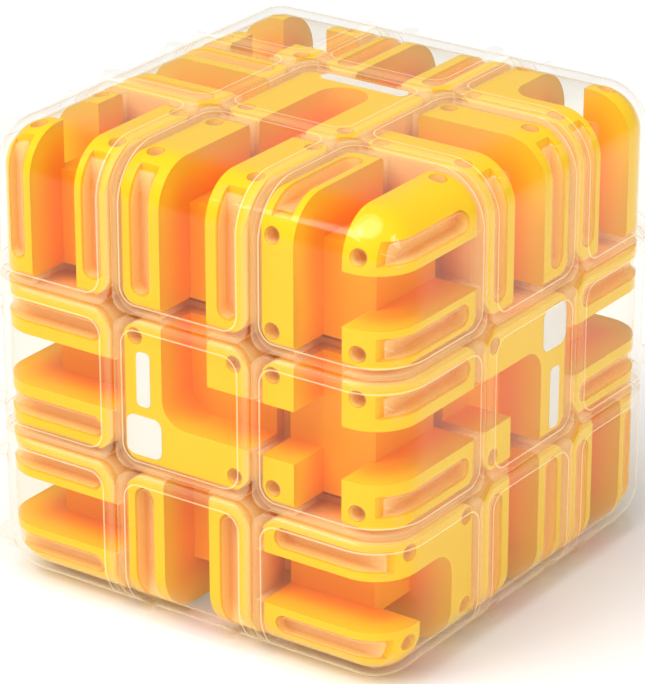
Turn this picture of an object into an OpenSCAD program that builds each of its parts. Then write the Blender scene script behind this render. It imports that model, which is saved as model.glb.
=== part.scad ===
// Twisting maze cube: 3 x 3 x 3 pieces, each a clear cover over a channelled tray, and a steel ball.
// Millimetres. The origin is the middle of the core, the front is -Y, the right is +X and the top is +Z.

/* [Cube] */
// Half of the cube's width
half_width = 36; // [30:0.5:45]
// Distance of the seams from the middle planes
seam_plane = 12; // [10:0.1:15]
// Gap between neighbouring pieces
seam_gap = 0.3; // [0.2:0.05:0.6]
// Radius of the cube's outer edges
edge_radius = 8; // [4:0.5:10]
// Radius of the face corners where four pieces meet
junction_radius = 3.4; // [1:0.1:5]
// Radius of the other seam edges
seam_radius = 0.8; // [0.3:0.1:2]

/* [Covers] */
// Thickness of the clear cover
cover_wall = 1.2; // [0.8:0.1:2]
// Thickness of the cover's skirt along the seams
skirt_wall = 0.9; // [0.6:0.1:1.5]
// Distance from the cube's middle at which the skirt ends
skirt_end = 26; // [24.5:0.5:29]
// Clearance between a cover and its tray
fit_gap = 0.1; // [0.05:0.05:0.3]

/* [Channels] */
// Width of the ball channels
channel_width = 8; // [7:0.1:9]
// Depth of the channel floors under the outer faces
channel_depth = 8.4; // [7.5:0.1:9]
// Diameter of the steel ball
ball_diameter = 6; // [4:0.5:7]
// Distance of the corner pieces' channels from the middle planes
corner_line = 22.8; // [21:0.1:23]

/* [Locating Details] */
// Radius of the cover's locating pegs
peg_radius = 1.1; // [0.7:0.1:1.6]
// Depth that the pegs and ribs reach under the outer faces
peg_depth = 4.4; // [3:0.1:6]
// Width of the pockets in the trays
pocket_width = 3.4; // [2.5:0.1:4]
// Width of the cover's ribs
rib_width = 2.6; // [1.4:0.1:4]

/* [Mechanism] */
// Half of the core's width
core_half = 8; // [6:0.1:9]
// Radius of the sphere in which the feet turn
foot_sphere = 24; // [22:0.1:25]
// Radius of the centre screws
screw_radius = 1.5; // [1:0.1:2]
// Radius of the spring bore in each hub
bore_radius = 3.9; // [3:0.1:4.5]
// Distance of the hub's outer end from the middle
hub_end = 22; // [20:0.1:23]

/* [Hidden] */
$fn = 48;
g2 = seam_gap / 2;
cw = channel_width / 2;
channel_axis = half_width - channel_depth + cw;
far = half_width + 4;
sheet = cover_wall + fit_gap;
skin = skirt_wall + fit_gap;
rib_root = half_width - 0.75 * cover_wall;
// Depth of the ribs under the outer faces
rib_depth = peg_depth - 0.9;
// Where the screw heads and the washers sit, and where the hubs' spring bores start
head_base = 18.5;
washer_base = head_base - 0.6;
bore_start = 11;
screw_tip = 2.5;
// Ends of the channel runs: under a seam, past a seam, and where the top centre's run stops
near = seam_plane - 1;
past = seam_plane + 1;
stub_end = 3.5;
// Lines and ends of the slots and the pegs, measured from the middle planes
slot_line = 7.5;
slot_start = 16.5;
slot_end = 33;
slot_near = 16;
slot_far = 29.7;
corner_slot_start = 17;
peg_line = 8.6;
stub_peg_line = 7.6;
peg_near = 15.2;
peg_far = 29.2;
edge_peg_near = 15.4;
edge_peg_far = 29;
// The coil springs: wire and coil radii, ends, turns and steps per turn
wire = 0.36;
coil = 2.5;
spring_low = 11.5;
spring_high = 17.3;
spring_turns = 4.5;
spring_steps = 14;
turns = [[0, 90, 0], [-90, 0, 0], [0, 0, 0]];
clear_c = [0.95, 0.97, 1, 0.3];
tray_c = [1, 0.75, 0.03];
steel_c = [0.75, 0.76, 0.78];

// A piece is named by s, the signs of its place: [0, -1, 1] is the top front edge.
function low(q, o, g) = q == 1 ? seam_plane + g : q == 0 ? -seam_plane + g : -half_width + o;
function high(q, o, g) = q == 1 ? half_width - o : q == 0 ? seam_plane - g : -seam_plane - g;
function pick(k, a, d, b, c) = [for (i = [0:2]) i == k ? a : i == d ? b : c];
function outer(q, side) = q == side;
function corner_r(p, q, a, b, o) =
  outer(p, a) && outer(q, b) ? edge_radius - o
  : !outer(p, a) && !outer(q, b) ? junction_radius
  : seam_radius;
function lone(s) = s[0] != 0 && s[1] != 0 && s[2] != 0;
function span(q) = q == 0 ? [-far, far] : q == 1 ? [-1, skirt_end] : [-skirt_end, 1];

// A box between two corners.
module box(a, b) {
  translate(a)
    cube(b - a);
}

// A cylinder of radius r along axis d from a to b, the other two coordinates from p.
module rod(p, d, a, b, r) {
  translate([for (i = [0:2]) i == d ? a : p[i]])
    rotate(turns[d])
      cylinder(h = b - a, r = r);
}

// What lies outside a rounded corner of a profile.
module spandrel(x, y, a, b, r) {
  translate([x - a * r, y - b * r])
    difference() {
      translate([a > 0 ? 0 : -r - 1, b > 0 ? 0 : -r - 1])
        square(r + 1);
      circle(r);
    }
}

// A rounded profile across two axes whose place signs are p and q.
module profile(p, q, o, g) {
  x = [low(p, o, g), high(p, o, g)];
  y = [low(q, o, g), high(q, o, g)];
  difference() {
    translate([x[0], y[0]])
      square([x[1] - x[0], y[1] - y[0]]);
    for (a = [-1, 1], b = [-1, 1])
      spandrel(x[(a + 1) / 2], y[(b + 1) / 2], a, b, corner_r(p, q, a, b, o));
  }
}

// A piece's outline, drawn in by o from the cube's faces and by g from its seam planes.
module form(s, o, g) {
  if (lone(s))
    rotate([0, 0, s[0] > 0 ? (s[1] > 0 ? 90 : 0) : (s[1] > 0 ? 180 : 270)])
      rotate([s[2] > 0 ? 0 : 90, 0, 0])
        difference() {
          prism([1, -1, 1], o, g);
          ball_corner([1, -1, 1], edge_radius - o, half_width - edge_radius);
        }
  else
    prism(s, o, g);
}

// The outline as three profiles that cross.
module prism(s, o, g) {
  intersection() {
    translate([0, 0, -far])
      linear_extrude(2 * far)
        profile(s[0], s[1], o, g);
    translate([0, far, 0])
      rotate([90, 0, 0])
        linear_extrude(2 * far)
          profile(s[0], s[2], o, g);
    translate([-far, 0, 0])
      rotate([90, 0, 90])
        linear_extrude(2 * far)
          profile(s[1], s[2], o, g);
  }
}

// What lies outside the ball-shaped end of a cube corner.
module ball_corner(s, r, c) {
  difference() {
    box([for (q = s) q > 0 ? c : -c - r - 1], [for (q = s) q > 0 ? c + r + 1 : -c]);
    translate(c * s)
      sphere(r);
  }
}

// One straight run of channel on face axis k, along axis d from a to b at c on the third axis.
// ea and eb are 1 where the end is rounded.
module run(s, k, d, c, a, b, ea, eb) {
  n = s[k] * (half_width - channel_depth);
  p = pick(k, n, d, a, c);
  q = pick(k, n, d, b, c);
  m = 3 - k - d;
  lo = [for (i = [0:2]) i == k ? min(n, s[k] * far) : i == d ? a : c - cw];
  hi = [for (i = [0:2]) i == k ? max(n, s[k] * far) : i == d ? b : c + cw];
  box(lo, hi);
  if (ea == 1)
    pocket_end(p, k, s[k]);
  if (eb == 1)
    pocket_end(q, k, s[k]);
}

// The round end of a run on face axis k at p.
module pocket_end(p, k, sign) {
  rod(p, k, min(p[k], sign * far), max(p[k], sign * far), cw);
}

// All the runs of a piece; each run is [k, d, c, a, b, ea, eb].
module channels(s, runs) {
  for (r = runs)
    run(s, r[0], r[1], r[2], r[3], r[4], r[5], r[6]);
}

// A slot with round ends on face axis k along axis d, of width w and reaching depth h.
module slot(s, k, d, c, a, b, w, h, top) {
  n0 = s[k] * (half_width - h);
  n1 = s[k] * top;
  lo = [for (i = [0:2]) i == k ? min(n0, n1) : i == d ? a : c - w / 2];
  hi = [for (i = [0:2]) i == k ? max(n0, n1) : i == d ? b : c + w / 2];
  box(lo, hi);
  rod(pick(k, n0, d, a, c), k, min(n0, n1), max(n0, n1), w / 2);
  rod(pick(k, n0, d, b, c), k, min(n0, n1), max(n0, n1), w / 2);
}

// Everything nearer to the middle than the skirt's end, moved in by e.
module deep(s, e) {
  box(
    [for (q = s) span(q)[0] + (q < 0 ? e : 0)],
    [for (q = s) span(q)[1] - (q > 0 ? e : 0)]
  );
}

// The clear cover: a shell with gates where channels pass, pegs and ribs.
module cover(m) {
  s = m[0];
  runs = m[1];
  pegs = m[2];
  slots = m[3];
  color(clear_c) {
    difference() {
      form(s, 0, g2);
      form(s, cover_wall, g2 + skirt_wall);
      deep(s, 0);
      intersection() {
        channels(s, runs);
        form(s, cover_wall, -1);
      }
    }
    for (p = pegs)
      peg(s, p, peg_radius, peg_depth, rib_root);
    for (t = slots)
      slot(s, t[0], t[1], t[2], t[3], t[4], rib_width, rib_depth, rib_root);
  }
}

// A peg of radius r, from depth h up to top.
module peg(s, p, r, h, top) {
  k = p[0];
  n0 = s[k] * (half_width - h);
  n1 = s[k] * top;
  q = k == 0 ? [n0, p[1], p[2]] : k == 1 ? [p[1], n0, p[2]] : [p[1], p[2], n0];
  rod(q, k, min(n0, n1), max(n0, n1), r);
}

// A tray's body before its foot is joined on.
module tray_body(s) {
  form(s, sheet, g2 + skin);
  intersection() {
    form(s, 0, g2);
    deep(s, fit_gap);
  }
}

// What a tray gives up to its channels, peg holes and pockets.
module tray_cuts(m) {
  s = m[0];
  runs = m[1];
  pegs = m[2];
  slots = m[3];
  channels(s, runs);
  for (p = pegs)
    peg(s, p, peg_radius + 0.2, peg_depth + 0.4, far);
  for (t = slots)
    slot(s, t[0], t[1], t[2], t[3], t[4], pocket_width, peg_depth, far);
}

// The foot's column: past the core on each side the piece is on, and inside the core's width elsewhere.
module column(s, e) {
  box(
    [for (q = s) q > 0 ? core_half + g2 : q == 0 ? -core_half + g2 : -e],
    [for (q = s) q > 0 ? e : q == 0 ? core_half - g2 : -core_half - g2]
  );
}

// The foot, held under the neighbouring pieces.
module foot(s) {
  intersection() {
    column(s, 20);
    sphere(foot_sphere - g2);
  }
}

module corner_tray(m) {
  s = m[0];
  color(tray_c)
    difference() {
      union() {
        tray_body(s);
        foot(s);
      }
      tray_cuts(m);
    }
}

module edge_tray(m) {
  s = m[0];
  color(tray_c)
    difference() {
      union() {
        difference() {
          tray_body(s);
          difference() {
            sphere(foot_sphere + g2);
            column(s, far);
          }
        }
        foot(s);
      }
      tray_cuts(m);
    }
}

// A centre is a tray with a separate hub under it that holds the spring and turns on the screw.
module centre_tray(m) {
  s = m[0];
  k = s[0] != 0 ? 0 : s[1] != 0 ? 1 : 2;
  color(tray_c) {
    difference() {
      tray_body(s);
      difference() {
        sphere(foot_sphere + g2);
        intersection() {
          column(s, far);
          box([for (q = s) q > 0 ? hub_end : -far], [for (q = s) q < 0 ? -hub_end : far]);
        }
      }
      tray_cuts(m);
    }
    difference() {
      intersection() {
        column(s, hub_end - fit_gap);
        sphere(foot_sphere - g2);
      }
      rod([0, 0, 0], k, -far, far, screw_radius + 0.25);
      rod([0, 0, 0], k, s[k] > 0 ? bore_start : -far, s[k] > 0 ? far : -bore_start, bore_radius);
    }
  }
}

// The maze. Each piece is its place signs, then its channel runs [k, d, c, a, b, ea, eb], its pegs
// [k, p, q] with p and q on the other two axes in order, and its slots [k, d, c, a, b].

// Top centre: a dead end from the front.
top_centre = [
  [0, 0, 1],
  [[2, 1, 0, -past, stub_end, 0, 1]],
  [[2, -peg_line, -stub_peg_line], [2, peg_line, -stub_peg_line]],
  [],
];

// Bottom centre: straight from front to back with a branch to the right.
bottom_centre = [
  [0, 0, -1],
  [[2, 1, 0, -past, past, 0, 0], [2, 0, 0, 0, past, 0, 0]],
  [
    [2, -peg_line, -peg_line], [2, -peg_line, peg_line], [2, peg_line, peg_line],
    [2, peg_line, -peg_line],
  ],
  [],
];

// Front centre: a bend from the top to the right.
front_centre = [
  [0, -1, 0],
  [[1, 2, 0, 0, past, 1, 0], [1, 0, 0, 0, past, 0, 0]],
  [[1, -peg_line, peg_line], [1, peg_line, peg_line], [1, peg_line, -peg_line]],
  [],
];

// Back centre: straight from side to side with a branch to the top, where the ball starts.
back_centre = [
  [0, 1, 0],
  [[1, 0, 0, -past, past, 0, 0], [1, 2, 0, 0, past, 0, 0]],
  [
    [1, -peg_line, -peg_line], [1, peg_line, -peg_line], [1, -peg_line, peg_line],
    [1, peg_line, peg_line],
  ],
  [],
];

// Left centre: a bend from the front to the top.
left_centre = [
  [-1, 0, 0],
  [[0, 1, 0, -past, 0, 0, 1], [0, 2, 0, 0, past, 0, 0]],
  [[0, peg_line, peg_line], [0, peg_line, -peg_line], [0, -peg_line, peg_line]],
  [],
];

// Right centre: a bend from the front to the bottom.
right_centre = [
  [1, 0, 0],
  [[0, 1, 0, -past, 0, 0, 1], [0, 2, 0, -past, 0, 0, 0]],
  [[0, -peg_line, peg_line], [0, -peg_line, -peg_line]],
  [],
];

// Top front edge: over the edge from the front to the top.
top_front_edge = [
  [0, -1, 1],
  [[1, 2, 0, near, far, 0, 0], [2, 1, 0, -far, -near, 0, 0]],
  [
    [2, -peg_line, -edge_peg_near], [2, peg_line, -edge_peg_near], [2, -peg_line, -edge_peg_far],
    [2, peg_line, -edge_peg_far],
  ],
  [[1, 2, -slot_line, slot_start, slot_end], [1, 2, slot_line, slot_start, slot_end]],
];

// Top back edge: over the edge from the back to the top.
top_back_edge = [
  [0, 1, 1],
  [[1, 2, 0, near, far, 0, 0], [2, 1, 0, near, far, 0, 0]],
  [[1, -peg_line, edge_peg_near], [1, peg_line, edge_peg_near]],
  [[2, 1, -slot_line, slot_start, slot_end], [2, 1, slot_line, slot_start, slot_end]],
];

// Top left edge: over the edge from the left to the top.
top_left_edge = [
  [-1, 0, 1],
  [[0, 2, 0, near, far, 0, 0], [2, 0, 0, -far, -near, 0, 0]],
  [],
  [
    [2, 0, -slot_line, -slot_end, -slot_start], [2, 0, slot_line, -slot_end, -slot_start],
    [0, 2, -slot_line, slot_start, slot_end], [0, 2, slot_line, slot_start, slot_end],
  ],
];

// Top right edge: over the edge from the right to the top.
top_right_edge = [
  [1, 0, 1],
  [[0, 2, 0, near, far, 0, 0], [2, 0, 0, near, far, 0, 0]],
  [
    [2, edge_peg_near, -peg_line], [2, edge_peg_near, peg_line], [2, edge_peg_far, -peg_line],
    [2, edge_peg_far, peg_line],
  ],
  [[0, 2, -slot_line, slot_start, slot_end], [0, 2, slot_line, slot_start, slot_end]],
];

// Bottom front edge: under the edge from the front to the bottom.
bottom_front_edge = [
  [0, -1, -1],
  [[1, 2, 0, -far, -near, 0, 0], [2, 1, 0, -far, -near, 0, 0]],
  [[2, -peg_line, -edge_peg_near], [2, peg_line, -edge_peg_near]],
  [[1, 2, -slot_line, -slot_end, -slot_start], [1, 2, slot_line, -slot_end, -slot_start]],
];

// Bottom back edge: under the edge from the back to the bottom.
bottom_back_edge = [
  [0, 1, -1],
  [[1, 2, 0, -far, -near, 0, 0], [2, 1, 0, near, far, 0, 0]],
  [[2, -peg_line, edge_peg_near], [2, peg_line, edge_peg_near]],
  [[1, 2, -slot_line, -slot_end, -slot_start], [1, 2, slot_line, -slot_end, -slot_start]],
];

// Bottom left edge: under the edge from the left to the bottom.
bottom_left_edge = [
  [-1, 0, -1],
  [[0, 2, 0, -far, -near, 0, 0], [2, 0, 0, -far, -near, 0, 0]],
  [[2, -edge_peg_near, -peg_line], [2, -edge_peg_near, peg_line]],
  [[0, 2, -slot_line, -slot_end, -slot_start], [0, 2, slot_line, -slot_end, -slot_start]],
];

// Bottom right edge: under the edge from the right to the bottom.
bottom_right_edge = [
  [1, 0, -1],
  [[0, 2, 0, -far, -near, 0, 0], [2, 0, 0, near, far, 0, 0]],
  [[2, edge_peg_near, -peg_line], [2, edge_peg_near, peg_line]],
  [[0, 2, -slot_line, -slot_end, -slot_start], [0, 2, slot_line, -slot_end, -slot_start]],
];

// Front left edge: round the edge from the front to the left.
front_left_edge = [
  [-1, -1, 0],
  [[1, 0, 0, -far, -near, 0, 0], [0, 1, 0, -far, -near, 0, 0]],
  [],
  [
    [1, 0, -slot_line, -slot_end, -slot_start], [1, 0, slot_line, -slot_end, -slot_start],
    [0, 1, -slot_line, -slot_end, -slot_start], [0, 1, slot_line, -slot_end, -slot_start],
  ],
];

// Front right edge: round the edge from the front to the right, crossed by an upright run.
front_right_edge = [
  [1, -1, 0],
  [
    [1, 0, 0, near, far, 0, 0], [0, 1, 0, -far, -near, 0, 0],
    [1, 2, corner_line, -past, past, 0, 0],
  ],
  [
    [1, peg_near, -peg_line], [1, peg_near, peg_line], [1, peg_far, -peg_line],
    [1, peg_far, peg_line],
  ],
  [[0, 1, -slot_line, -slot_end, -slot_start], [0, 1, slot_line, -slot_end, -slot_start]],
];

// Back left edge: round the edge from the back to the left.
back_left_edge = [
  [-1, 1, 0],
  [[1, 0, 0, -far, -near, 0, 0], [0, 1, 0, near, far, 0, 0]],
  [],
  [
    [1, 0, -slot_line, -slot_end, -slot_start], [1, 0, slot_line, -slot_end, -slot_start],
    [0, 1, -slot_line, slot_start, slot_end], [0, 1, slot_line, slot_start, slot_end],
  ],
];

// Back right edge: round the edge from the back to the right.
back_right_edge = [
  [1, 1, 0],
  [[1, 0, 0, near, far, 0, 0], [0, 1, 0, near, far, 0, 0]],
  [[1, edge_peg_near, -peg_line], [1, edge_peg_near, peg_line]],
  [[0, 1, -slot_line, slot_start, slot_end], [0, 1, slot_line, slot_start, slot_end]],
];

// Top front left corner: over the edge from the front to the top, with a branch over the left edge.
top_front_left_corner = [
  [-1, -1, 1],
  [
    [1, 2, -corner_line, near, far, 0, 0], [2, 1, -corner_line, -far, -near, 0, 0],
    [2, 0, -corner_line, -far, -corner_line, 0, 0], [0, 2, -corner_line, corner_line, far, 1, 0],
  ],
  [
    [2, -peg_near, -peg_near], [2, -peg_far, -peg_near], [2, -peg_far, -peg_far],
    [2, -peg_near, -peg_far],
  ],
  [
    [1, 2, -slot_near, corner_slot_start, slot_end], [1, 2, -slot_far, corner_slot_start, slot_end],
    [0, 2, -slot_near, corner_slot_start, slot_end], [0, 2, -slot_far, corner_slot_start, slot_end],
  ],
];

// Top front right corner: over the edge from the front to the top, with a branch round the right edge.
top_front_right_corner = [
  [1, -1, 1],
  [
    [1, 2, corner_line, near, far, 0, 0], [2, 1, corner_line, -far, -near, 0, 0],
    [1, 0, corner_line, corner_line, far, 0, 0], [0, 1, corner_line, -far, -near, 0, 0],
  ],
  [
    [1, peg_near, peg_far], [1, peg_far, peg_far], [1, peg_far, peg_near], [1, peg_near, peg_near],
    [2, peg_far, -peg_near],
  ],
  [
    [2, 1, slot_near, -slot_end, -corner_slot_start],
    [0, 1, slot_near, -slot_end, -corner_slot_start],
    [0, 1, slot_far, -slot_end, -corner_slot_start],
  ],
];

// Top back left corner: crossing runs on the top, one over the left edge and one over the back edge.
top_back_left_corner = [
  [-1, 1, 1],
  [
    [2, 1, -corner_line, near, far, 0, 0], [2, 0, corner_line, -far, -near, 0, 0],
    [0, 2, corner_line, corner_line, far, 1, 0], [1, 2, -corner_line, corner_line, far, 1, 0],
  ],
  [
    [2, -peg_near, peg_near], [2, -peg_far, peg_near], [2, -peg_near, peg_far],
    [2, -peg_far, peg_far],
  ],
  [
    [1, 2, -slot_near, corner_slot_start, slot_end], [0, 2, slot_near, corner_slot_start, slot_end],
  ],
];

// Top back right corner: over the right edge to the top, then over the back edge.
top_back_right_corner = [
  [1, 1, 1],
  [
    [0, 2, corner_line, near, far, 0, 0], [2, 0, corner_line, corner_line, far, 1, 0],
    [2, 1, corner_line, corner_line, far, 0, 0], [1, 2, corner_line, near, far, 0, 0],
  ],
  [[2, peg_near, peg_far], [2, peg_far, peg_far], [2, peg_near, peg_near], [2, peg_far, peg_near]],
  [[0, 2, slot_near, corner_slot_start, slot_end], [1, 2, slot_near, corner_slot_start, slot_end]],
];

// Bottom front left corner: round the edge from the front to the left, and a dead end underneath.
bottom_front_left_corner = [
  [-1, -1, -1],
  [
    [1, 0, -corner_line, -far, -near, 0, 0], [0, 1, -corner_line, -far, -near, 0, 0],
    [2, 1, -corner_line, -corner_line, -near, 1, 0],
  ],
  [[2, -peg_near, -peg_near], [2, -peg_far, -peg_near], [2, -peg_near, -peg_far]],
  [
    [1, 0, -slot_near, -slot_end, -corner_slot_start],
    [1, 0, -slot_far, -slot_end, -corner_slot_start],
    [0, 1, -slot_near, -slot_end, -corner_slot_start],
    [0, 1, -slot_far, -slot_end, -corner_slot_start],
  ],
];

// Bottom front right corner: round the edge from the front to the right, then under the right edge.
bottom_front_right_corner = [
  [1, -1, -1],
  [
    [1, 0, -corner_line, near, far, 0, 0], [0, 1, -corner_line, -far, -corner_line, 0, 1],
    [0, 2, -corner_line, -far, -corner_line, 0, 0], [2, 0, -corner_line, near, far, 0, 0],
  ],
  [
    [0, -peg_far, -peg_near], [0, -peg_near, -peg_near], [0, -peg_near, -peg_far],
    [0, -peg_far, -peg_far],
  ],
  [
    [1, 0, -slot_near, corner_slot_start, slot_end], [1, 0, -slot_far, corner_slot_start, slot_end],
  ],
];

// Bottom back left corner: round the edge from the back to the left, and a dead end underneath.
bottom_back_left_corner = [
  [-1, 1, -1],
  [
    [1, 0, -corner_line, -far, -near, 0, 0], [0, 1, -corner_line, near, far, 0, 0],
    [2, 1, -corner_line, near, corner_line, 0, 1],
  ],
  [[2, -peg_near, peg_near], [2, -peg_far, peg_near], [2, -peg_near, peg_far]],
  [
    [1, 0, -slot_near, -slot_end, -corner_slot_start],
    [1, 0, -slot_far, -slot_end, -corner_slot_start],
    [0, 1, -slot_near, corner_slot_start, slot_end], [0, 1, -slot_far, corner_slot_start, slot_end],
  ],
];

// Bottom back right corner: under the edge from the right to a bend underneath.
bottom_back_right_corner = [
  [1, 1, -1],
  [
    [0, 2, corner_line, -far, -near, 0, 0], [2, 0, corner_line, corner_line, far, 1, 0],
    [2, 1, corner_line, near, corner_line, 0, 0],
  ],
  [
    [1, peg_near, -peg_near], [1, peg_far, -peg_near], [1, peg_far, -peg_far],
    [1, peg_near, -peg_far],
  ],
  [
    [0, 2, slot_near, -slot_end, -corner_slot_start],
    [0, 2, slot_far, -slot_end, -corner_slot_start],
  ],
];

// The core, with a blind hole for each screw.
module core() {
  color(tray_c)
    difference() {
      cube(2 * (core_half - g2), center = true);
      for (k = [0:2]) {
        rod([0, 0, 0], k, screw_tip - 0.2, far, screw_radius + 0.1);
        rod([0, 0, 0], k, -far, 0.2 - screw_tip, screw_radius + 0.1);
      }
    }
}

// Turns a child that stands on +Z to each of the six faces.
module each_face() {
  for (a = [[0, 0, 0], [180, 0, 0], [90, 0, 0], [-90, 0, 0], [0, 90, 0], [0, -90, 0]])
    rotate(a)
      children();
}

module centre_screws() {
  color(steel_c)
    each_face()
      difference() {
        union() {
          translate([0, 0, screw_tip])
            cylinder(h = head_base - screw_tip, r = screw_radius);
          translate([0, 0, head_base])
            cylinder(h = 2, r = 2 * screw_radius);
        }
        translate([-2, -0.35, head_base + 1.2])
          cube([4, 0.7, 2]);
        translate([-0.35, -2, head_base + 1.2])
          cube([0.7, 4, 2]);
      }
}

module centre_washers() {
  color(steel_c)
    each_face()
      translate([0, 0, washer_base])
        difference() {
          cylinder(h = 0.5, r = 3.3);
          translate([0, 0, -1])
            cylinder(h = 3, r = screw_radius + 0.3);
        }
}

// A coil spring as a swept hexagon, its ends capped.
function coil_ring(i) =
  let (n = spring_turns * spring_steps, a = 360 * i / spring_steps)
  [for (j = [0:5])
    let (r = coil + wire * cos(60 * j))
    [r * cos(a), r * sin(a), spring_low + (spring_high - spring_low) * i / n + wire * sin(60 * j)]];

module spring() {
  n = spring_turns * spring_steps;
  points = [for (i = [0:n], p = coil_ring(i)) p];
  sides = [
    for (i = [0:n - 1], j = [0:5])
      [6 * i + j, 6 * i + (j + 1) % 6, 6 * i + 6 + (j + 1) % 6, 6 * i + 6 + j]
  ];
  polyhedron(
    points = points,
    faces = concat(sides, [[5, 4, 3, 2, 1, 0]], [[for (j = [0:5]) 6 * n + j]]),
    convexity = 10
  );
}

module centre_springs() {
  color(steel_c)
    each_face()
      spring();
}

module steel_ball() {
  color(steel_c)
    translate([0, channel_axis - 0.3, -0.8])
      sphere(ball_diameter / 2);
}

module top_centre_tray() {
  centre_tray(top_centre);
}

module top_centre_cover() {
  cover(top_centre);
}

module bottom_centre_tray() {
  centre_tray(bottom_centre);
}

module bottom_centre_cover() {
  cover(bottom_centre);
}

module front_centre_tray() {
  centre_tray(front_centre);
}

module front_centre_cover() {
  cover(front_centre);
}

module back_centre_tray() {
  centre_tray(back_centre);
}

module back_centre_cover() {
  cover(back_centre);
}

module left_centre_tray() {
  centre_tray(left_centre);
}

module left_centre_cover() {
  cover(left_centre);
}

module right_centre_tray() {
  centre_tray(right_centre);
}

module right_centre_cover() {
  cover(right_centre);
}

module top_front_edge_tray() {
  edge_tray(top_front_edge);
}

module top_front_edge_cover() {
  cover(top_front_edge);
}

module top_back_edge_tray() {
  edge_tray(top_back_edge);
}

module top_back_edge_cover() {
  cover(top_back_edge);
}

module top_left_edge_tray() {
  edge_tray(top_left_edge);
}

module top_left_edge_cover() {
  cover(top_left_edge);
}

module top_right_edge_tray() {
  edge_tray(top_right_edge);
}

module top_right_edge_cover() {
  cover(top_right_edge);
}

module bottom_front_edge_tray() {
  edge_tray(bottom_front_edge);
}

module bottom_front_edge_cover() {
  cover(bottom_front_edge);
}

module bottom_back_edge_tray() {
  edge_tray(bottom_back_edge);
}

module bottom_back_edge_cover() {
  cover(bottom_back_edge);
}

module bottom_left_edge_tray() {
  edge_tray(bottom_left_edge);
}

module bottom_left_edge_cover() {
  cover(bottom_left_edge);
}

module bottom_right_edge_tray() {
  edge_tray(bottom_right_edge);
}

module bottom_right_edge_cover() {
  cover(bottom_right_edge);
}

module front_left_edge_tray() {
  edge_tray(front_left_edge);
}

module front_left_edge_cover() {
  cover(front_left_edge);
}

module front_right_edge_tray() {
  edge_tray(front_right_edge);
}

module front_right_edge_cover() {
  cover(front_right_edge);
}

module back_left_edge_tray() {
  edge_tray(back_left_edge);
}

module back_left_edge_cover() {
  cover(back_left_edge);
}

module back_right_edge_tray() {
  edge_tray(back_right_edge);
}

module back_right_edge_cover() {
  cover(back_right_edge);
}

module top_front_left_corner_tray() {
  corner_tray(top_front_left_corner);
}

module top_front_left_corner_cover() {
  cover(top_front_left_corner);
}

module top_front_right_corner_tray() {
  corner_tray(top_front_right_corner);
}

module top_front_right_corner_cover() {
  cover(top_front_right_corner);
}

module top_back_left_corner_tray() {
  corner_tray(top_back_left_corner);
}

module top_back_left_corner_cover() {
  cover(top_back_left_corner);
}

module top_back_right_corner_tray() {
  corner_tray(top_back_right_corner);
}

module top_back_right_corner_cover() {
  cover(top_back_right_corner);
}

module bottom_front_left_corner_tray() {
  corner_tray(bottom_front_left_corner);
}

module bottom_front_left_corner_cover() {
  cover(bottom_front_left_corner);
}

module bottom_front_right_corner_tray() {
  corner_tray(bottom_front_right_corner);
}

module bottom_front_right_corner_cover() {
  cover(bottom_front_right_corner);
}

module bottom_back_left_corner_tray() {
  corner_tray(bottom_back_left_corner);
}

module bottom_back_left_corner_cover() {
  cover(bottom_back_left_corner);
}

module bottom_back_right_corner_tray() {
  corner_tray(bottom_back_right_corner);
}

module bottom_back_right_corner_cover() {
  cover(bottom_back_right_corner);
}

core();
centre_screws();
centre_washers();
centre_springs();
steel_ball();
top_centre_tray();
top_centre_cover();
bottom_centre_tray();
bottom_centre_cover();
front_centre_tray();
front_centre_cover();
back_centre_tray();
back_centre_cover();
left_centre_tray();
left_centre_cover();
right_centre_tray();
right_centre_cover();
top_front_edge_tray();
top_front_edge_cover();
top_back_edge_tray();
top_back_edge_cover();
top_left_edge_tray();
top_left_edge_cover();
top_right_edge_tray();
top_right_edge_cover();
bottom_front_edge_tray();
bottom_front_edge_cover();
bottom_back_edge_tray();
bottom_back_edge_cover();
bottom_left_edge_tray();
bottom_left_edge_cover();
bottom_right_edge_tray();
bottom_right_edge_cover();
front_left_edge_tray();
front_left_edge_cover();
front_right_edge_tray();
front_right_edge_cover();
back_left_edge_tray();
back_left_edge_cover();
back_right_edge_tray();
back_right_edge_cover();
top_front_left_corner_tray();
top_front_left_corner_cover();
top_front_right_corner_tray();
top_front_right_corner_cover();
top_back_left_corner_tray();
top_back_left_corner_cover();
top_back_right_corner_tray();
top_back_right_corner_cover();
bottom_front_left_corner_tray();
bottom_front_left_corner_cover();
bottom_front_right_corner_tray();
bottom_front_right_corner_cover();
bottom_back_left_corner_tray();
bottom_back_left_corner_cover();
bottom_back_right_corner_tray();
bottom_back_right_corner_cover();
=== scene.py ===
import math

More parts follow.
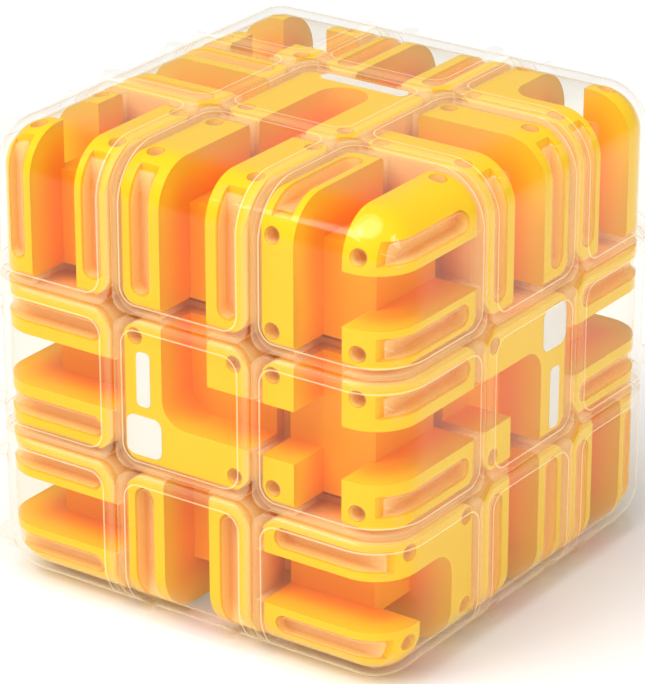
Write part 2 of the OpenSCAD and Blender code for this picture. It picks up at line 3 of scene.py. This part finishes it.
import bmesh
import bpy
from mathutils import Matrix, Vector


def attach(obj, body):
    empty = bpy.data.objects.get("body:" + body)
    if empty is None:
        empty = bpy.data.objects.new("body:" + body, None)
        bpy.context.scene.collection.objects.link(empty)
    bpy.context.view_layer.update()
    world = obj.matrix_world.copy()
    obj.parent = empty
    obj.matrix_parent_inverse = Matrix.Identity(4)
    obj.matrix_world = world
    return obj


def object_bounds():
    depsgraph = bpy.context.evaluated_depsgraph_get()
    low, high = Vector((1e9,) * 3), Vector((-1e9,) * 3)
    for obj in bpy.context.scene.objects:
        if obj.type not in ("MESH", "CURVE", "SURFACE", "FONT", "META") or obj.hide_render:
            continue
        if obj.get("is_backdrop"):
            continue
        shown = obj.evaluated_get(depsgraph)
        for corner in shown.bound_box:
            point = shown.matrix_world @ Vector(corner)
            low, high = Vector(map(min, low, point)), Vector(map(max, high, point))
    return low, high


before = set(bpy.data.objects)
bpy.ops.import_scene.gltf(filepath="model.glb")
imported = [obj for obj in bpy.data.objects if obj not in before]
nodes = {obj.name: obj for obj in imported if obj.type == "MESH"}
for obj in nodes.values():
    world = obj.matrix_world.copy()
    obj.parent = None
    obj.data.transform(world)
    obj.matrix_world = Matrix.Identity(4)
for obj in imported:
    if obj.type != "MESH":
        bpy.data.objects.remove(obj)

cad_low, cad_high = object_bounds()
MM = 0.001
# Half of the cube's width, the seams' distance from the middle, and the covers' sizes.
HALF = cad_high[0]
SEAM = HALF / 3
EDGE_RADIUS = 8 * MM
COVER_WALL = 1.2 * MM
COVER_CORNER = 4.5 * MM
scene = bpy.context.scene

# ---------------------------------------------------------------- view and light
scene.view_settings.view_transform = "Standard"
scene.view_settings.look = "None"
scene.cycles.max_bounces = 24
scene.cycles.transparent_max_bounces = 48
scene.cycles.glossy_bounces = 8
scene.cycles.diffuse_bounces = 6
scene.cycles.caustics_reflective = False
scene.cycles.caustics_refractive = False

# The camera stands this far round from the front, this far up, and this many metres away.
AZIMUTH, ELEVATION, DISTANCE = math.radians(35.0), math.radians(23.3), 0.560
SENSOR_MM, LENS_MM = 36.0, 200.53
SHIFT_ACROSS, SHIFT_UP = -0.00585, -0.02339
WORLD_STRENGTH = 0.42
SUN_STRENGTH, SUN_ANGLE = 2.1, math.radians(50)


def look_at(ob, target):
    """Turns a camera or a light to face a point."""
    way = Vector(target) - ob.location
    ob.rotation_euler = way.to_track_quat("-Z", "Y").to_euler()


cam = bpy.data.objects.new("camera", bpy.data.cameras.new("camera"))
scene.collection.objects.link(cam)
cam.location = (
    DISTANCE * math.cos(ELEVATION) * math.sin(AZIMUTH),
    -DISTANCE * math.cos(ELEVATION) * math.cos(AZIMUTH),
    DISTANCE * math.sin(ELEVATION),
)
look_at(cam, (0, 0, 0))
cam.data.sensor_width = SENSOR_MM
cam.data.lens = LENS_MM
cam.data.shift_x = SHIFT_ACROSS
cam.data.shift_y = SHIFT_UP
cam.data.clip_start = 10 * MM
scene.camera = cam

world = bpy.data.worlds.new("world")
scene.world = world
world.use_nodes = True
background = world.node_tree.nodes["Background"]
background.inputs["Color"].default_value = (1, 1, 1, 1)
background.inputs["Strength"].default_value = WORLD_STRENGTH


def area(name, place, size, power):
    """A rectangular lamp that faces the cube; its size is in metres and its power in watts."""
    data = bpy.data.lights.new(name, "AREA")
    data.shape = "RECTANGLE"
    data.size, data.size_y = size
    data.energy = power
    ob = bpy.data.objects.new(name, data)
    scene.collection.objects.link(ob)
    ob.location = place
    look_at(ob, (0, 0, 0))


area("key_light", (-0.25, -0.50, 0.55), (0.30, 0.30), 1.6)
area("side_light", (0.60, -0.15, 0.30), (0.10, 0.45), 1.0)
sun = bpy.data.objects.new("soft_sun", bpy.data.lights.new("soft_sun", "SUN"))
sun.data.energy = SUN_STRENGTH
sun.data.angle = SUN_ANGLE
scene.collection.objects.link(sun)
sun.location = (-0.05, -0.35, 0.8)
look_at(sun, (0, 0, 0))


# ---------------------------------------------------------------- materials
def new_material(name):
    """A material with an empty node tree, and its nodes and links."""
    m = bpy.data.materials.new(name)
    m.use_nodes = True
    m.node_tree.nodes.clear()
    return m, m.node_tree.nodes, m.node_tree.links


def noise(n, l, scale, detail):
    """Noise on the piece's own coordinates, from 0 to 1."""
    at = n.new("ShaderNodeTexCoord")
    t = n.new("ShaderNodeTexNoise")
    t.inputs["Scale"].default_value = scale
    t.inputs["Detail"].default_value = detail
    l.new(at.outputs["Object"], t.inputs["Vector"])
    return t.outputs["Fac"]


def ramp(n, l, value, low, high):
    """A value from 0 to 1, spread from low to high."""
    r = n.new("ShaderNodeMapRange")
    r.inputs["To Min"].default_value = low
    r.inputs["To Max"].default_value = high
    l.new(value, r.inputs["Value"])
    return r.outputs["Result"]


def mix_colour(n, l, value, a, b):
    x = n.new("ShaderNodeMix")
    x.data_type = "RGBA"
    x.inputs["A"].default_value = (*a, 1)
    x.inputs["B"].default_value = (*b, 1)
    l.new(value, x.inputs["Factor"])
    return x.outputs["Result"]


def bump(n, l, height, strength, distance):
    b = n.new("ShaderNodeBump")
    b.inputs["Strength"].default_value = strength
    b.inputs["Distance"].default_value = distance
    l.new(height, b.inputs["Height"])
    return b.outputs["Normal"]


def math_node(n, l, operation, a, b=None):
    """One sum on numbers or sockets."""
    x = n.new("ShaderNodeMath")
    x.operation = operation
    for socket, value in zip(x.inputs, (a, b)):
        if isinstance(value, (int, float)):
            socket.default_value = value
        elif value is not None:
            l.new(value, socket)
    return x.outputs["Value"]


def smooth(n, l, value, start, end, low, high):
    """A smooth step from low at start to high at end."""
    r = n.new("ShaderNodeMapRange")
    r.interpolation_type = "SMOOTHSTEP"
    r.inputs["From Min"].default_value = start
    r.inputs["From Max"].default_value = end
    r.inputs["To Min"].default_value = low
    r.inputs["To Max"].default_value = high
    l.new(value, r.inputs["Value"])
    return r.outputs["Result"]


def rounded_distance(n, l, steps, radius):
    """The radius less the length of the object coordinates after the steps, each done on all three."""
    way = n.new("ShaderNodeTexCoord").outputs["Object"]
    for operation, value in (*steps, ("MAXIMUM", 0.0), ("LENGTH", None)):
        v = n.new("ShaderNodeVectorMath")
        v.operation = operation
        l.new(way, v.inputs[0])
        if value is not None:
            v.inputs[1].default_value = (value,) * 3
        way = v.outputs["Value" if operation == "LENGTH" else "Vector"]
    return math_node(n, l, "SUBTRACT", radius, way)


def depth_under_cube(n, l):
    """How deep a point lies under the rounded cube's surface, level below the edge radius."""
    steps = (("ABSOLUTE", None), ("SUBTRACT", HALF - EDGE_RADIUS))
    return rounded_distance(n, l, steps, EDGE_RADIUS)


def distance_to_seams(n, l):
    """How far a point lies inside its piece's outline along the seams, rounded at the corners."""
    steps = (
        ("ABSOLUTE", None), ("SUBTRACT", SEAM), ("ABSOLUTE", None),
        ("MULTIPLY", -1.0), ("ADD", COVER_CORNER),
    )
    return rounded_distance(n, l, steps, COVER_CORNER)


def tray_plastic():
    """Yellow moulded plastic with painted shade: more orange towards the floors of the maze troughs,
    where shade and bounced light fall.
    """
    # The second colour is painted shade: the orange that shade in the troughs gives the yellow
    # plastic.
    land, painted_shade_orange = (1.0, 0.64, 0.0), (1.0, 0.38, 0.0)
    m, n, l = new_material("tray_plastic")
    out = n.new("ShaderNodeOutputMaterial")
    p = n.new("ShaderNodeBsdfPrincipled")
    # Painted shade: the colour turns orange with depth under the cube's surface, and random grain is
    # added on top.
    painted_shade_depth = smooth(n, l, depth_under_cube(n, l), COVER_WALL, EDGE_RADIUS, 0, 1)
    grain = math_node(n, l, "MULTIPLY", noise(n, l, 90, 3), 0.15)
    painted_shade_and_grain = math_node(n, l, "ADD", painted_shade_depth, grain)
    l.new(mix_colour(n, l, painted_shade_and_grain, land, painted_shade_orange), p.inputs["Base Color"])
    l.new(ramp(n, l, noise(n, l, 600, 3), 0.30, 0.42), p.inputs["Roughness"])
    p.inputs["Specular IOR Level"].default_value = 0.18
    l.new(bump(n, l, noise(n, l, 2600, 3), 0.12, 0.00002), p.inputs["Normal"])
    p.inputs["Subsurface Weight"].default_value = 0.12
    p.inputs["Subsurface Radius"].default_value = (0.004, 0.0022, 0.0004)
    p.inputs["Subsurface Scale"].default_value = 1.0
    p.inputs["IOR"].default_value = 1.5
    l.new(p.outputs["BSDF"], out.inputs["Surface"])
    return m


def mixed(n, l, share, first, second):
    """Two shaders mixed; a share of 1 shows only the second."""
    x = n.new("ShaderNodeMixShader")
    l.new(share, x.inputs["Fac"])
    l.new(first, x.inputs[1])
    l.new(second, x.inputs[2])
    return x.outputs["Shader"]


def wall_share(n, l, depth):
    """How milky the skirts, ribs and pegs are under the outer wall, fading towards the middle; the
    milk glows with painted light.
    """
    near_milk, deep_milk = 0.34, 0.03
    inside = smooth(n, l, depth, 1.02 * COVER_WALL, 1.25 * COVER_WALL, 0, 1)
    fade = smooth(n, l, depth, 1.5 * COVER_WALL, EDGE_RADIUS, near_milk, deep_milk)
    return math_node(n, l, "MULTIPLY", inside, fade)


def rim_milk_and_painted_highlight(n, l, depth):
    """How milky the outer wall is beside the seams, a band that glows with painted light, and one thin
    bright painted highlight along them.
    """
    band_milk, band_start, band_end = 0.15, 0.3 * MM, 2.0 * MM
    painted_highlight_milk, line_middle, line_core, line_edge = 0.45, 1.9 * MM, 0.05 * MM, 0.20 * MM
    outside = smooth(n, l, depth, 0.3 * MM, 0.6 * MM, 1, 0)
    seams = distance_to_seams(n, l)
    rim_milk_and_painted_glow = smooth(n, l, seams, band_start, band_end, band_milk, 0)
    # Painted highlight: a thin bright stripe 1.9 mm inside each seam, standing in for light caught in
    # the rim of the thick clear plastic.
    off_line = math_node(n, l, "ABSOLUTE", math_node(n, l, "SUBTRACT", seams, line_middle))
    painted_highlight_line = smooth(n, l, off_line, line_core, line_edge, painted_highlight_milk, 0)
    return math_node(n, l, "MULTIPLY", outside, math_node(n, l, "MAXIMUM", rim_milk_and_painted_glow, painted_highlight_line))


def clear_plastic():
    """Clear plastic: see-through, a little milky at walls and rims, and a mirror at a low angle; the
    milky parts glow with painted light.
    """
    grazing_mirror, facing_mirror = 0.90, 0.016
    grazing_painted_sheen_milk, facing_milk = 0.75, 0.004
    m, n, l = new_material("clear_plastic")
    out = n.new("ShaderNodeOutputMaterial")
    gloss = n.new("ShaderNodeBsdfPrincipled")
    gloss.inputs["Base Color"].default_value = (1, 1, 1, 1)
    gloss.inputs["Metallic"].default_value = 1.0
    l.new(ramp(n, l, noise(n, l, 300, 2), 0.03, 0.07), gloss.inputs["Roughness"])
    clear = n.new("ShaderNodeBsdfTransparent")
    clear.inputs["Color"].default_value = (0.998, 0.99, 0.965, 1)
    haze_with_painted_glow = n.new("ShaderNodeBsdfPrincipled")
    haze_with_painted_glow.inputs["Base Color"].default_value = (1.0, 0.84, 0.54, 1)
    haze_with_painted_glow.inputs["Roughness"].default_value = 0.35
    # Painted glow: the milky haze gives off its own light, brightening the shaded skirts and seams
    # though it is no lamp.
    haze_with_painted_glow.inputs["Emission Color"].default_value = (1.0, 0.74, 0.32, 1)
    haze_with_painted_glow.inputs["Emission Strength"].default_value = 0.18
    rim = n.new("ShaderNodeLayerWeight")
    rim.inputs["Blend"].default_value = 0.5
    facing = rim.outputs["Facing"]
    depth = depth_under_cube(n, l)
    # Painted sheen: the glowing haze grows towards grazing view angles, whitening the covers' edges as
    # a reflection would.
    grazing_painted_sheen = smooth(n, l, facing, 0.70, 1.0, facing_milk, grazing_painted_sheen_milk)
    milk_and_painted_glow = math_node(n, l, "MAXIMUM", wall_share(n, l, depth), grazing_painted_sheen)
    milk_and_painted_glow = math_node(n, l, "MAXIMUM", milk_and_painted_glow, rim_milk_and_painted_highlight(n, l, depth))
    grazing = math_node(n, l, "MULTIPLY", math_node(n, l, "POWER", facing, 5.0), grazing_mirror)
    mirror = math_node(n, l, "ADD", grazing, facing_mirror)
    body = mixed(n, l, milk_and_painted_glow, clear.outputs["BSDF"], haze_with_painted_glow.outputs["BSDF"])
    l.new(mixed(n, l, mirror, body, gloss.outputs["BSDF"]), out.inputs["Surface"])
    return m


def steel(name, colour, low, high, scale):
    """A metal with a roughness from low to high and noise of the scale."""
    m, n, l = new_material(name)
    out = n.new("ShaderNodeOutputMaterial")
    p = n.new("ShaderNodeBsdfPrincipled")
    dark = tuple(0.8 * c for c in colour)
    l.new(mix_colour(n, l, noise(n, l, scale, 3), dark, colour), p.inputs["Base Color"])
    l.new(ramp(n, l, noise(n, l, 3 * scale, 2), low, high), p.inputs["Roughness"])
    l.new(bump(n, l, noise(n, l, 5 * scale, 2), 0.1, 0.00001), p.inputs["Normal"])
    p.inputs["Metallic"].default_value = 1.0
    l.new(p.outputs["BSDF"], out.inputs["Surface"])
    return m


def floor_surface():
    """A plain pale floor."""
    m, n, l = new_material("floor_surface")
    out = n.new("ShaderNodeOutputMaterial")
    p = n.new("ShaderNodeBsdfPrincipled")
    pale, paler = (0.90, 0.90, 0.90), (0.92, 0.92, 0.92)
    l.new(mix_colour(n, l, noise(n, l, 3, 2), pale, paler), p.inputs["Base Color"])
    p.inputs["Roughness"].default_value = 0.7
    l.new(p.outputs["BSDF"], out.inputs["Surface"])
    return m


TRAY, CLEAR = tray_plastic(), clear_plastic()
HARDWARE = steel("plated_steel", (0.62, 0.62, 0.64), 0.25, 0.40, 900)
BALL = steel("polished_steel", (0.86, 0.87, 0.88), 0.04, 0.10, 500)

for name, ob in nodes.items():
    kind = (
        CLEAR if name.endswith("_cover")
        else TRAY if name.endswith("_tray") or name == "core"
        else BALL if name == "steel_ball"
        else HARDWARE
    )
    for s in ob.material_slots:
        s.material = kind

# ---------------------------------------------------------------- labels under the covers
LABEL_LOW, LABEL_THICK = HALF - 1.29 * MM, 0.07 * MM


def rounded_plate(name, wide, high, radius, steps=8):
    """A thin plate with round corners, lying in X and Y on its own base."""
    bm = bmesh.new()
    outline = []
    for quarter, (sx, sy) in enumerate(((1, 1), (-1, 1), (-1, -1), (1, -1))):
        for k in range(steps + 1):
            turn = math.radians(90 * (quarter + k / steps))
            x = sx * (wide / 2 - radius) + radius * math.cos(turn)
            y = sy * (high / 2 - radius) + radius * math.sin(turn)
            outline.append(bm.verts.new((x, y, 0)))
    face = bm.faces.new(outline)
    top = bmesh.ops.extrude_face_region(bm, geom=[face])
    moved = [v for v in top["geom"] if isinstance(v, bmesh.types.BMVert)]
    bmesh.ops.translate(bm, verts=moved, vec=(0, 0, LABEL_THICK))
    bmesh.ops.recalc_face_normals(bm, faces=bm.faces)
    mesh = bpy.data.meshes.new(name)
    bm.to_mesh(mesh)
    bm.free()
    ob = bpy.data.objects.new(name, mesh)
    scene.collection.objects.link(ob)
    return ob


def label_plastic():
    """Plain white film."""
    m, n, l = new_material("label_plastic")
    out = n.new("ShaderNodeOutputMaterial")
    p = n.new("ShaderNodeBsdfPrincipled")
    white, off_white = (0.93, 0.91, 0.89), (0.86, 0.84, 0.82)
    l.new(mix_colour(n, l, noise(n, l, 400, 3), off_white, white), p.inputs["Base Color"])
    l.new(ramp(n, l, noise(n, l, 900, 2), 0.35, 0.5), p.inputs["Roughness"])
    l.new(p.outputs["BSDF"], out.inputs["Surface"])
    return m


LABEL = label_plastic()
# Turns that lay a plate's X and Y along a face, seen from outside the cube.
FACE_TURN = {
    "front": (math.radians(90), 0, 0),
    "right": (math.radians(90), 0, math.radians(90)),
    "top": (0, 0, 0),
}
FACE_NORMAL = {"front": Vector((0, -1, 0)), "right": Vector((1, 0, 0)), "top": Vector((0, 0, 1))}
# Each label: face, name, middle across and up the face, width, height and corner radius in mm.
LABELS = (
    ("front", "square_label", (-7.2, -6.6), 6.2, 6.2, 1.4),
    ("front", "strip_label", (-7.2, 2.2), 2.4, 8.4, 0.8),
    ("right", "square_label", (7.3, 6.0), 6.0, 6.6, 1.4),
    ("right", "strip_label", (7.6, -5.2), 2.4, 9.6, 0.8),
    ("top", "bar_label", (0.0, 9.6), 15.0, 2.2, 1.0),
)
for side, kind, (across, up), wide, high, radius in LABELS:
    piece = rounded_plate(f"{side}_{kind}", wide * MM, high * MM, radius * MM)
    piece.rotation_euler = FACE_TURN[side]
    turn = piece.rotation_euler.to_matrix()
    piece.location = turn @ Vector((across * MM, up * MM, 0)) + LABEL_LOW * FACE_NORMAL[side]
    piece.data.materials.append(LABEL)
    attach(piece, f"{side}_centre")

# ---------------------------------------------------------------- floor
floor_mesh = bpy.data.meshes.new("floor")
REACH = 6.0
corners = ((-1, -1), (1, -1), (1, 1), (-1, 1))
floor_mesh.from_pydata([(REACH * x, REACH * y, cad_low[2]) for x, y in corners], [], [(0, 1, 2, 3)])
floor = bpy.data.objects.new("floor", floor_mesh)
scene.collection.objects.link(floor)
floor.data.materials.append(floor_surface())
floor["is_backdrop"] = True

low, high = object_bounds()
